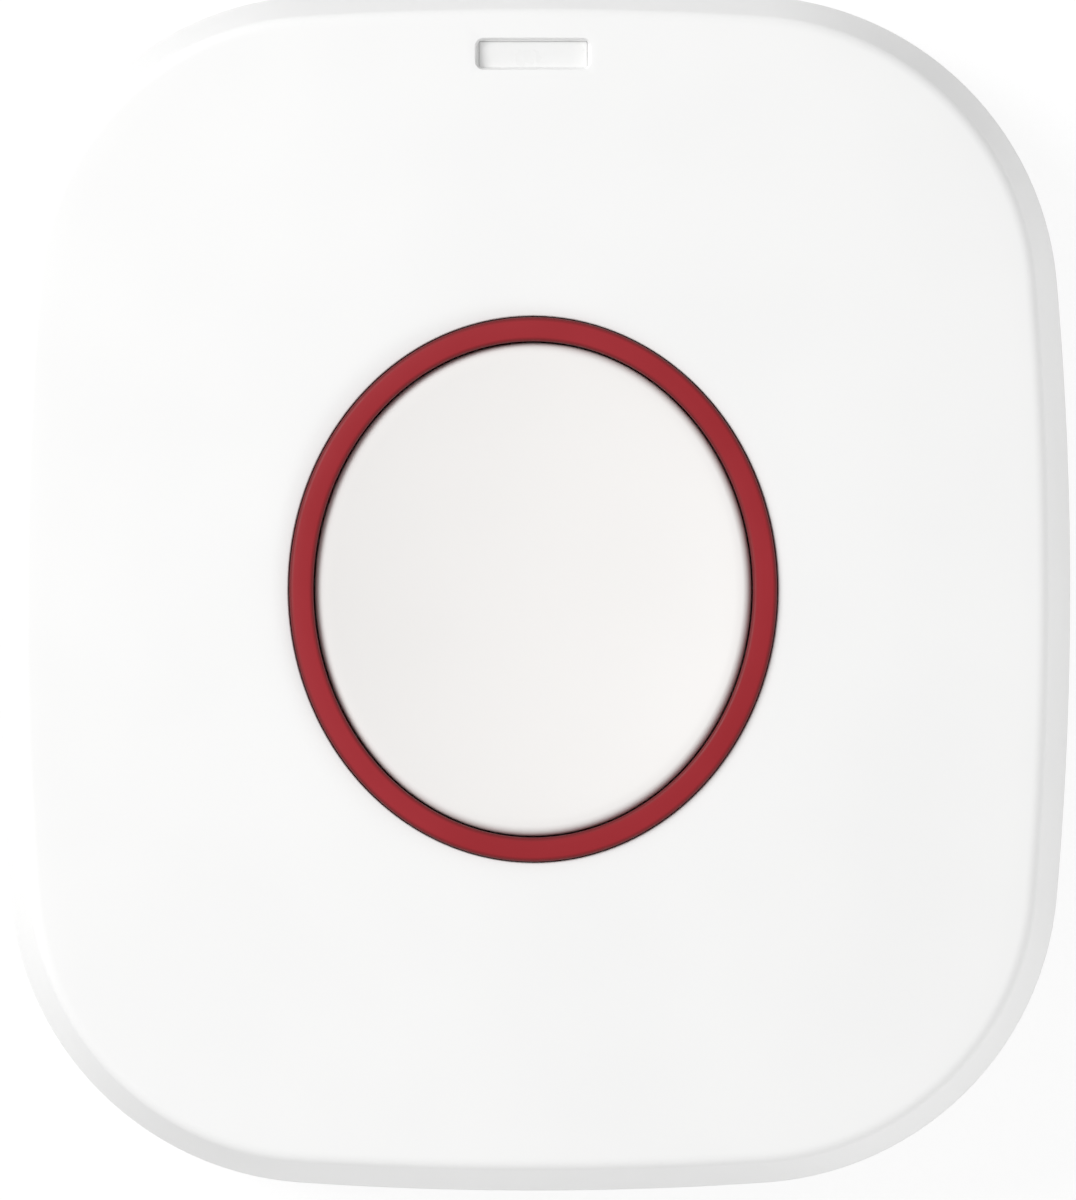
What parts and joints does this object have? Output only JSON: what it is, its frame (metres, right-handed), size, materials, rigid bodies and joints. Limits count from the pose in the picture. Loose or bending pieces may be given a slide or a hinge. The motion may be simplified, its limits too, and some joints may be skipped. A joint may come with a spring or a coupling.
{
  "type": "wireless panic button",
  "caption": "Wearable or wall-hung panic button: soft-cornered crowned housing, oval trim ring, dished push button, light window and coin-slot cell door.",
  "frame": {"origin": "middle of the flat back face, on which the button lies", "axes": "+Z out of the face with the push button, +Y towards the end with the light window, +X to the right seen from the front"},
  "size_m": [0.0536, 0.06, 0.0157],
  "materials": {
    "housing_white": "satin moulded",
    "button_white": "satin moulded",
    "ring_red": "satin moulded",
    "window_milky": "milky",
    "silicone_grey": "matt",
    "seal_black": "matt",
    "board_green": "solder-resist coated",
    "chip_black": "moulded",
    "ceramic_tan": "fired",
    "tin_sheet": "tinned",
    "steel_zinc": "zinc plated",
    "cell_steel": "nickel plated",
    "antenna_copper": "bare",
    "plunger_black": "moulded"
  },
  "bodies": {
    "housing": {"front_cover": "housing_white", "rear_cover": "housing_white", "trim_ring": "ring_red", "light_pipe": "window_milky", "button_seal": "silicone_grey", "housing_gasket": "silicone_grey", "circuit_board": "board_green", "switch_body": "chip_black", "switch_frame": "tin_sheet", "snap_dome": "tin_sheet", "status_led": "window_milky", "radio_module": "tin_sheet", "microcontroller": "chip_black", "crystal": "tin_sheet", "ceramic_capacitors": "ceramic_tan", "reservoir_capacitor": "chip_black", "antenna_loop": "antenna_copper", "coin_cell": "cell_steel", "negative_contact": "tin_sheet", "positive_contact": "tin_sheet", "case_screws": "steel_zinc", "board_screws": "steel_zinc"},
    "button": {"push_button": "button_white"},
    "plunger": {"switch_plunger": "plunger_black"},
    "door": {"battery_door": "housing_white", "door_seal": "seal_black"}
  },
  "joints": [
    {"name": "button_press", "type": "slide", "parent": "housing", "child": "button", "axis": [0, 0, -1], "range_m": [0, 0.0006], "stiffness_N_per_m": 2500, "deforming": ["button_seal"]},
    {"name": "plunger_press", "type": "slide", "parent": "housing", "child": "plunger", "axis": [0, 0, -1], "range_m": [0, 0.00025], "deforming": ["snap_dome"]},
    {"name": "door_turn", "type": "hinge", "parent": "housing", "child": "door", "pos_m": [0, 0, 0], "axis": [0, 0, 1], "range_deg": [-50, 0]}
  ],
  "couplings": [
    {"joint": "plunger_press", "follows": "button_press", "ratio": 0.4166}
  ]
}
